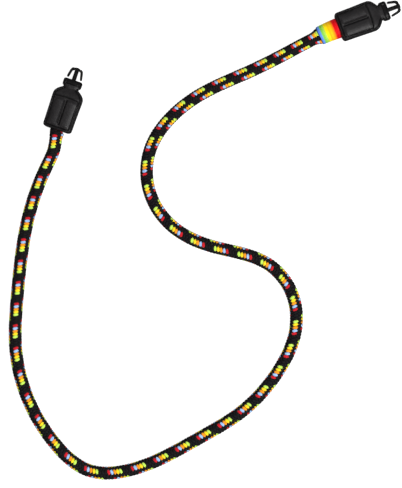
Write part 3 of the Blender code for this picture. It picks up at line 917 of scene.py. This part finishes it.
def front_relief(x, y, half_width, edge):
    """How far the front shell's outside is sunk below its plain rounded form."""
    # a raised border round the whole outline, with a fine channel inside it
    body = 1 - rise(x, start=20.6, over=1.0)
    channel = plateau(edge - RIM_WIDTH - 0.22, 0.26) * body
    drop = 0.12 * rise(edge, start=RIM_WIDTH, over=0.2) * body + 0.32 * channel
    # the sunk panel, with two raised lobes beside a middle groove
    half = half_width - 1.62
    ahead = before_panel_edge(x, y)
    panel = fall(abs(y), end=half, over=0.22) * rise(x, start=1.45, over=0.3) * smooth(ahead / 0.5)
    across = np.clip(abs(y) / half, 0, 1)
    lobe = np.sin(math.pi * across**0.95) ** 0.8
    lobe = lobe * rise(x, start=1.6, over=1.5) * rise(ahead, start=0.5, over=1.7)
    groove = np.maximum(1 - abs(y - GROOVE_Y) / GROOVE_HALF, 0) ** 0.9
    groove = groove * rise(x, start=2.3, over=0.7) * fall(x, end=15.4, over=0.6)
    bead = bell(y - BEAD_Y, 0.26) * bead_length(x)
    drop = drop + panel * (0.6 - 0.6 * lobe + 0.46 * groove - 0.34 * bead)
    # a shallow dish in the shoulder, on the cord side of the collar
    drop = drop + 0.14 * bell(x - 19.4, 1.3) * bell(y, 2.6)
    # the collar's tip-side band is a step lower, between two side lobes
    step = rise(x, start=22.75, over=0.25)
    drop = drop + 0.3 * step * fall(abs(y), end=3.4, over=0.4)
    return drop + 0.14 * bell(x - 23.1, 0.2) * fall(abs(y), end=4.4, over=0.6)


def back_relief(x, y, edge):
    """A shallow tray in the back, with a rib down the middle and four ejector marks."""
    tray = rise(edge, start=1.9, over=0.3)
    tray = tray * rise(x, start=3.2, over=0.3) * fall(x, end=15.4, over=0.3)
    marks = 0
    for mark_x, mark_y in EJECTOR_MARKS:
        away = np.hypot(x - mark_x, y - mark_y)
        marks = np.maximum(marks, fall(away, end=EJECTOR_R, over=0.12))
    rib = fall(abs(y), end=0.9, over=0.15)
    return 0.28 * tray * (1 - 0.9 * rib) + 0.08 * marks * tray


def shell_height(x, y, half_width, half_thick, power, front):
    """Distance of a half's outside from the parting plane."""
    edge = silhouette_distance(x, y)
    share = np.clip(abs(y) / half_width, 0, 1)
    z = half_thick * np.maximum(1 - share**power, 0) ** (1 / power)
    if front:
        z = z - front_relief(x, y, half_width, edge) * fall(share, end=1, over=0.06)
    else:
        z = np.minimum(z, PLUG_Z) - back_relief(x, y, edge)
    return np.maximum(z, PARTING)


def shell_finish_and_shade(obj, front):
    """Where the mould is textured (1) and where it is polished (0), for each vertex; low values
    also paint shade, the darker polished colour, on steep faces, in the channel, along the outline,
    on the panel's step and on one wall of the groove.
    """
    place = read_vectors(obj.data.vertices, "co").astype(float) / MM
    upright = abs(read_vectors(obj.data.vertex_normals, "vector")[:, 2])
    x, y = np.clip(place[:, 0], 0, SHELL_LEN), place[:, 1]
    edge = silhouette_distance(x, y)
    # painted shade: steep faces get the darker polished colour
    finish_and_shade = rise(upright, start=0.35, over=0.45)
    # the channel and the outermost edge are polished and darker: painted shade in the channel and
    # along the outline
    channel = plateau(edge - RIM_WIDTH - 0.25, 0.36)
    finish_and_shade = finish_and_shade * (1 - 0.92 * channel * (1 - rise(x, start=20.8, over=1.0)))
    finish_and_shade = finish_and_shade * (0.25 + 0.75 * rise(edge, start=0.3, over=0.3))
    if front:
        # the panel's tip-side edge and the groove's slope are polished and darker, painted shade on
        # the step and on that wall of the groove; the bead stays textured
        finish_and_shade = finish_and_shade * (1 - 0.85 * plateau(before_panel_edge(x, y) - 0.05, 0.55))
        groove_length = rise(x, start=2.0, over=0.7) * fall(x, end=15.6, over=0.6)
        finish_and_shade = finish_and_shade * (1 - 0.85 * bell(y + 0.42, 0.34) * groove_length)
        finish_and_shade = np.maximum(finish_and_shade, 0.9 * bell(y - BEAD_Y, 0.3) * bead_length(x))
        # the collar's band and side lobes are made smoother and much darker, and the mouth end a
        # little
        finish_and_shade = finish_and_shade * (1 - 0.93 * rise(x, start=22.6, over=0.3))
        lobes = rise(x, start=21.3, over=0.4) * rise(abs(y), start=2.7, over=0.5)
        finish_and_shade = finish_and_shade * (1 - 0.85 * lobes)
        finish_and_shade = finish_and_shade * (0.6 + 0.4 * rise(x, start=1.2, over=0.8))
    # the inside and the parting face have one even finish
    outside = place[:, 2] > 2.0 if front else place[:, 2] < -2.0
    finish_and_shade = np.where(outside, finish_and_shade, 0.2)
    attribute = obj.data.attributes.new("finish_and_shade", "FLOAT", "POINT")
    attribute.data.foreach_set("value", np.asarray(finish_and_shade, np.float32))


def shell_mesh(name, front):
    """One solid half, before it is hollowed."""
    u = np.linspace(-1, 1, ACROSS_POINTS)
    share = np.sin(math.pi / 2 * np.sign(u) * abs(u) ** 1.02)
    x, half_width, half_thick, power = (
        np.repeat(column[:, None], ACROSS_POINTS, 1)
        for column in (
            X_STATIONS,
            outline_at(X_STATIONS, HALF_WIDTH),
            outline_at(X_STATIONS, HALF_THICK),
            outline_at(X_STATIONS, POWER),
        )
    )
    y = share[None] * half_width
    z = shell_height(x, y, half_width, half_thick, power, front)
    verts = np.stack([x, y, (1 if front else -1) * z], -1).reshape(-1, 3)
    rows, size = x.shape
    faces = quads(rows, size, closed=False)[:, ::-1].tolist()
    # the parting face: one strip of quads from side to side
    for i in range(rows - 1):
        faces.append([i * size, i * size + size - 1, (i + 1) * size + size - 1, (i + 1) * size])
    last = [(rows - 1) * size + j for j in range(size)]
    faces += [list(range(size)), last[::-1]]
    if not front:
        faces = [face[::-1] for face in faces]
    return mesh_object(name, verts * MM, faces, [SHELL_MAT])


def turned_solid(name, profile, sides, material):
    """A closed solid turned about the x axis, from stations and radii."""
    verts = []
    for x, radius in profile:
        for k in range(sides):
            angle = 2 * math.pi * (k + 0.5) / sides
            verts.append((x * MM, radius * math.cos(angle) * MM, radius * math.sin(angle) * MM))
    faces = quads(len(profile), sides)[:, ::-1].tolist()
    faces.append(list(range(sides)))
    faces.append([(len(profile) - 1) * sides + sides - 1 - j for j in range(sides)])
    return mesh_object(name, verts, faces, [material])


def make_shells():
    front_shell = shell_mesh("shell_front_master", True)
    back_shell = shell_mesh("shell_back_master", False)
    hollow = turned_solid("hollow", HOLLOW, 48, SHELL_MAT)
    for part in (front_shell, back_shell, hollow):
        fix_normals(part)
    for part in (front_shell, back_shell):
        boolean(part, hollow, "DIFFERENCE")
        finish_surface(part, sharp=32)
    shell_finish_and_shade(front_shell, True)
    shell_finish_and_shade(back_shell, False)
    bpy.data.objects.remove(hollow)
    return front_shell, back_shell


# ------------------------------------------------------------------ the snap tips
STEM_HALF_WIDTH, STEM_HALF_DEPTH = 0.98, 1.3
STEM_START = 24.6
# station and radius of the anchor disc and the shank
ANCHOR_PROFILE = (
    (14.9, 2.6), (14.95, 2.82), (15.15, 3.0), (16.45, 3.0), (16.6, 2.85), (16.65, 1.75),
    (16.8, 1.6), (24.9, 1.6), (25.1, 1.5),
)  # fmt: skip
# x, y of one side of the cap on the stem, out to the point
CAP_LINE = (
    (30.2, STEM_HALF_WIDTH), (30.3, 1.35), (30.55, 1.72), (30.9, 1.8), (31.22, 1.56),
    (31.52, 1.05), (31.67, 0.5), (31.7, 0.0),
)  # fmt: skip
BARB_PIVOT = (30.15, 2.4)
# centreline x, y from the pivot, and half thickness, from the cap to the barb's free end
BARB_LINE = (
    (0.62, -0.95, 0.7), (0.42, -0.4, 0.7), (0.0, 0.02, 0.644), (-0.7, 0.27, 0.602),
    (-1.5, 0.46, 0.588), (-2.6, 0.7, 0.56), (-3.6, 0.9, 0.518), (-3.95, 0.96, 0.308),
)  # fmt: skip


def prism(name, outline, half, bevel):
    """A flat shape, half deep to each side of the parting plane, with rounded edges."""
    count = len(outline)
    verts = [(x * MM, y * MM, z * MM) for z in (-half, half) for x, y in outline]
    faces = [[k, (k + 1) % count, count + (k + 1) % count, count + k] for k in range(count)]
    faces += [list(range(count))[::-1], [count + k for k in range(count)]]
    obj = mesh_object(name, verts, faces, [TIP_MAT])
    fix_normals(obj)
    mod = obj.modifiers.new("soft", "BEVEL")
    mod.width = bevel * MM
    mod.segments = 3
    mod.limit_method = "ANGLE"
    mod.angle_limit = math.radians(50)
    mod.harden_normals = False
    apply_all(obj)
    return obj


def spline(points, steps):
    """Catmull-Rom through the points, with this many steps between each two."""
    inner = np.array(points, float)
    p = np.array([2 * inner[0] - inner[1], *inner, 2 * inner[-1] - inner[-2]])
    out = []
    for k in range(1, len(p) - 2):
        a, b, c, d = p[k - 1 : k + 3]
        for j in range(steps):
            t = j / steps
            linear_part = 2 * b + (c - a) * t
            square_part = (2 * a - 5 * b + 4 * c - d) * t * t
            out.append(0.5 * (linear_part + square_part + (3 * b - a - 3 * c + d) * t**3))
    out.append(p[-2])
    return np.array(out)


def insert_mesh(name):
    """Anchor disc, shank, stem and the point of the tip."""
    body = turned_solid(name, ANCHOR_PROFILE, 40, TIP_MAT)
    side = [(STEM_START, STEM_HALF_WIDTH)] + [tuple(v) for v in spline(CAP_LINE, steps=4)]
    outline = side + [(x, -y) for x, y in reversed(side[:-1])]
    stem = prism(name + "_stem", outline, STEM_HALF_DEPTH, bevel=0.26)
    boolean(body, stem, "UNION")
    bpy.data.objects.remove(stem)
    finish_surface(body, sharp=40)
    return body


def barb_mesh(name, side):
    """A sprung barb. side is 1 towards +y, -1 towards -y."""
    line = spline([(x, y) for x, y, _ in BARB_LINE], steps=5)
    share, knots = np.linspace(0, 1, len(line)), np.linspace(0, 1, len(BARB_LINE))
    half_thick = np.interp(share, knots, [half for _, _, half in BARB_LINE])
    tangent = unit_rows(np.gradient(line, axis=0))
    offset = np.stack([-tangent[:, 1], tangent[:, 0]], 1) * half_thick[:, None]
    outline = [*(line + offset)[::-1], *(line - offset)]
    outline = [(BARB_PIVOT[0] + x, side * (BARB_PIVOT[1] + y)) for x, y in outline]
    obj = prism(name, outline, STEM_HALF_DEPTH, bevel=0.16)
    finish_surface(obj, sharp=40)
    return obj


# ------------------------------------------------------------------ placing the plugs
def plug_matrix(tag):
    """From a plug's own axes to the table's."""
    if tag == "a":
        at, turn = on_path(PATH_CENTRE, np.array(0.0)), math.radians(START_HEADING) + math.pi
    else:
        at, turn = on_path(PATH_CENTRE, np.array(CORD_LEN)), float(HEADING[-1])
    return Matrix.Translation(Vector(at) * MM) @ Matrix.Rotation(turn, 4, "Z")


def placed(master, name, matrix):
    obj = bpy.data.objects.new(name, master.data.copy())
    SCENE.collection.objects.link(obj)
    vector_attribute(obj, "plug_mm", read_vectors(obj.data.vertices, "co") * 1000)
    obj.data.transform(matrix)
    return obj


def place_plug(tag, rigid_parts, barbs):
    matrix = plug_matrix(tag)
    plug = f"plug_{tag}"
    for master, name, slot, node in rigid_parts:
        obj = placed(master, f"{plug}_{name}", matrix)
        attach(obj, plug)
        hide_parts(f"{tag}_{node}")
    for side, master in barbs.items():
        obj = placed(master, f"{plug}_sprung_barb_{side}", matrix)
        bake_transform(obj)
        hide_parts(f"{tag}_barb_{side}")


front_half, back_half = make_shells()
snap_insert = insert_mesh("insert_master")
sprung_barbs = {
    "left": barb_mesh("barb_left_master", 1),
    "right": barb_mesh("barb_right_master", -1),
}
# master, end of the object's name, slot, end of the node's name
RIGID_PARTS = (
    (front_half, "front_half", "plug_shell", "front_shell"),
    (back_half, "back_half", "plug_shell", "back_shell"),
    (snap_insert, "snap_point", "snap_tip", "snap_insert"),
)
for tag in "ab":
    place_plug(tag, RIGID_PARTS, sprung_barbs)
for master in (front_half, back_half, snap_insert, *sprung_barbs.values()):
    bpy.data.objects.remove(master)

STEEL = mottled_material(
    "plated_steel",
    mottle={"scale": 1.4, "detail": 4.0},
    stops=[(0.35, (0.32, 0.32, 0.33)), (0.65, (0.62, 0.62, 0.63))],
    roughness={"gain": 0.3, "offset": 0.2},
    grain={"scale": 9.0, "detail": 2.0},
    relief={"strength": 0.2, "distance": 0.00005},
    metallic=1.0,
)
VINYL = mottled_material(
    "black_vinyl",
    mottle={"scale": 2.0, "detail": 3.0},
    stops=[(0.3, (0.02, 0.02, 0.021)), (0.7, (0.05, 0.05, 0.052))],
    roughness={"gain": 0.2, "offset": 0.45},
    relief={"strength": 0.3, "distance": 0.00008},
)
# design pieces that keep their shape and only take a material
for name, material in (
    ("a_crimp_ferrule", STEEL),
    ("b_crimp_ferrule", STEEL),
    ("end_sleeve", VINYL),
):
    slots = frame["nodes"][name].data.materials
    slots.clear()
    slots.append(material)


# ------------------------------------------------------------------ the ribbon band
BAND_START, BAND_END = CORD_LEN - 9.95, CORD_LEN - 0.12
BAND_ACROSS, BAND_ROUND = 61, 150  # points across and round the ribbon
BAND_LAP = 0.09  # share of a turn that is doubled
BAND_SEAM = math.radians(205)  # where the winding starts, from straight up
BAND_THICK = 0.13
BAND_NOMINAL_R = 5.0  # turns angle into mm for the ribbon attribute
# shares of the width where one woven stripe ends and the next begins
STRIPE_EDGES = (0.0, 0.11, 0.265, 0.50, 0.65, 0.735, 0.855, 0.965, 1.0)


def stripe_puff(share):
    """Each stripe stands proud in its middle, by 0 to 1."""
    puff = np.zeros_like(share)
    for low, high in zip(STRIPE_EDGES, STRIPE_EDGES[1:]):
        inside = (share >= low) & (share <= high)
        t = np.clip((share - low) / (high - low), 0, 1)
        puff = np.where(inside, np.sin(math.pi * t) ** 0.6, puff)
    return puff


def ribbon_radius(share, angle, wound):
    """Outside radius, from share of the width, angle, and turns wound so far."""
    wave = 0.018 * np.sin(5 * angle + 1.1) * share + 0.015 * np.sin(9 * angle + 4 * share)
    radius = 4.92 - 0.42 * share + 0.075 * stripe_puff(share) + wave
    # the edges turn in
    radius -= 0.16 * fall(share, end=0.03, over=0.03)
    radius -= 0.16 * rise(share, start=0.97, over=0.03)
    # the lapped end lies on top of the start
    over = rise(wound, start=0.98, over=0.03)
    under = (1 - over) * fall(wound, end=BAND_LAP + 0.03, over=0.03)
    radius = radius - 0.10 * under + 0.07 * over
    return np.minimum(radius, 5.06 - 0.45 * share + 0.12 * over)


def ribbon_faces(rows, columns):
    """Outer and inner faces, and the strips that close the four edges."""
    inner = rows * columns
    outer_quads = quads(rows, columns, closed=False)
    faces = outer_quads.tolist() + (outer_quads[:, ::-1] + inner).tolist()
    for j in range(columns - 1):
        faces.append([j + 1, j, inner + j, inner + j + 1])
        here = (rows - 1) * columns + j
        faces.append([here, here + 1, inner + here + 1, inner + here])
    for i in range(rows - 1):
        here, beyond = i * columns, (i + 1) * columns
        faces.append([here, beyond, inner + beyond, inner + here])
        here, beyond = here + columns - 1, beyond + columns - 1
        faces.append([beyond, here, inner + here, inner + beyond])
    return faces


def ribbon_band():
    """A ribbon wound once and a bit round the cord, with a lapped end underneath."""
    turns = np.linspace(0, 1, BAND_ROUND)
    share, angle = np.meshgrid(  # share is 0 at the plug end
        np.linspace(0, 1, BAND_ACROSS),
        BAND_SEAM + turns * 2 * math.pi * (1 + BAND_LAP),
        indexing="ij",
    )
    wound = np.repeat(turns[None], BAND_ACROSS, 0) * (1 + BAND_LAP)
    radius = ribbon_radius(share, angle, wound)
    # it slants a little, and its cord-side edge wavers
    slant = 0.072 * np.sin(angle + 0.6) * (1 - abs(2 * share - 1)) ** 0.5
    waver = np.where(share > 0.9, 0.06 * np.sin(3 * angle), 0)
    arc = BAND_END - share * (BAND_END - BAND_START) + slant + waver
    outer = around(arc, angle, radius).reshape(-1, 3)
    inner = around(arc, angle, radius - BAND_THICK).reshape(-1, 3)
    faces = ribbon_faces(BAND_ACROSS, BAND_ROUND)
    verts = np.concatenate([outer, inner])
    obj = mesh_object("striped_ribbon_band", verts, faces, [ribbon_material()])
    fix_normals(obj)
    finish_surface(obj, sharp=50)
    weave_place = np.stack(
        [share * RIBBON_WIDTH, angle * BAND_NOMINAL_R, np.zeros_like(share)], -1
    ).reshape(-1, 3)
    vector_attribute(obj, "ribbon", np.concatenate([weave_place, weave_place]))
    return obj


band = ribbon_band()
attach(band, "plug_b")
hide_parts("rainbow_band")


# ------------------------------------------------------------------ floor, light and camera
FLOOR_HALF = 3.0  # metres
FLOOR_Z = -0.0002  # metres, just clear of the cord


def floor_material():
    """A bright sweep for the camera, and a duller one for the light it throws back."""
    material, graph = new_material("pale_floor")
    tone = graph.noise(graph.object_mm(), scale=0.01, detail=2.0)
    seen = graph.add("ShaderNodeLightPath").outputs["Is Camera Ray"]
    base = graph.rescale(tone, gain=0.02, offset=0.42)
    graph.surface({
        "Base Color": graph.rescale(seen, gain=0.06, offset=base),
        "Emission Color": (1, 1, 1),
        "Emission Strength": graph.times(seen, factor=0.78),
        "Roughness": 0.9,
        "Specular IOR Level": 0.0,
    })
    return material


def make_floor():
    half = FLOOR_HALF
    mesh = bpy.data.meshes.new("floor")
    corners = [(-half, -half, 0), (half, -half, 0), (half, half, 0), (-half, half, 0)]
    mesh.from_pydata(corners, [], [(0, 1, 2, 3)])
    obj = bpy.data.objects.new("floor", mesh)
    SCENE.collection.objects.link(obj)
    obj.visible_glossy = False
    mesh.materials.append(floor_material())
    obj.location.z = FLOOR_Z


def area_light(name, location, size, power):
    """A square light aimed at the origin, in metres and watts."""
    light = bpy.data.lights.new(name, "AREA")
    light.shape = "RECTANGLE"
    light.size = light.size_y = size
    light.energy = power
    obj = bpy.data.objects.new(name, light)
    SCENE.collection.objects.link(obj)
    obj.location = location
    obj.visible_camera = False
    obj.rotation_euler = (-Vector(location)).to_track_quat("-Z", "Y").to_euler()
    return obj


def make_world():
    """Soft even light, paler where the camera sees it and dimmer in reflections."""
    world = bpy.data.worlds.new("soft_studio")
    SCENE.world = world
    world.use_nodes = True
    graph = Graph(world.node_tree)
    rays = graph.add("ShaderNodeLightPath").outputs
    base_strength = 0.3
    seen = graph.times(rays["Is Camera Ray"], factor=0.62)
    strength = graph.math("ADD", seen, base_strength)
    graph.feed(graph.nodes["Background"], {
        "Color": (1, 1, 1),
        "Strength": graph.rescale(rays["Is Glossy Ray"], gain=-0.2, offset=strength),
    })  # fmt: skip


VIEW_LENGTH = 236.192  # seen along the picture's longer side, at the subject's height
LENS, SENSOR = 280.0, 36.0
SUBJECT_Z = 0.004  # metres


def make_camera():
    """A long lens looking straight down."""
    data = bpy.data.cameras.new("camera")
    camera = bpy.data.objects.new("camera", data)
    SCENE.collection.objects.link(camera)
    SCENE.camera = camera
    data.lens = LENS
    data.sensor_width = SENSOR
    data.clip_start, data.clip_end = 0.01, 20.0
    distance = VIEW_LENGTH / SENSOR * LENS * MM
    camera.location = (-0.00186, -0.0018, distance + SUBJECT_Z)


make_floor()
area_light("key", location=(0.55, -0.45, 0.75), size=0.5, power=6.8)
# fills the shadows without laying a sheen on the black plastic
top = area_light("top", location=(-0.1, 0.1, 1.25), size=1.1, power=11.5)
top.visible_glossy = False
make_world()
make_camera()
SCENE.view_settings.view_transform = "Standard"
SCENE.view_settings.look = "None"
SCENE.view_settings.exposure = 0.0

bpy.context.view_layer.update()
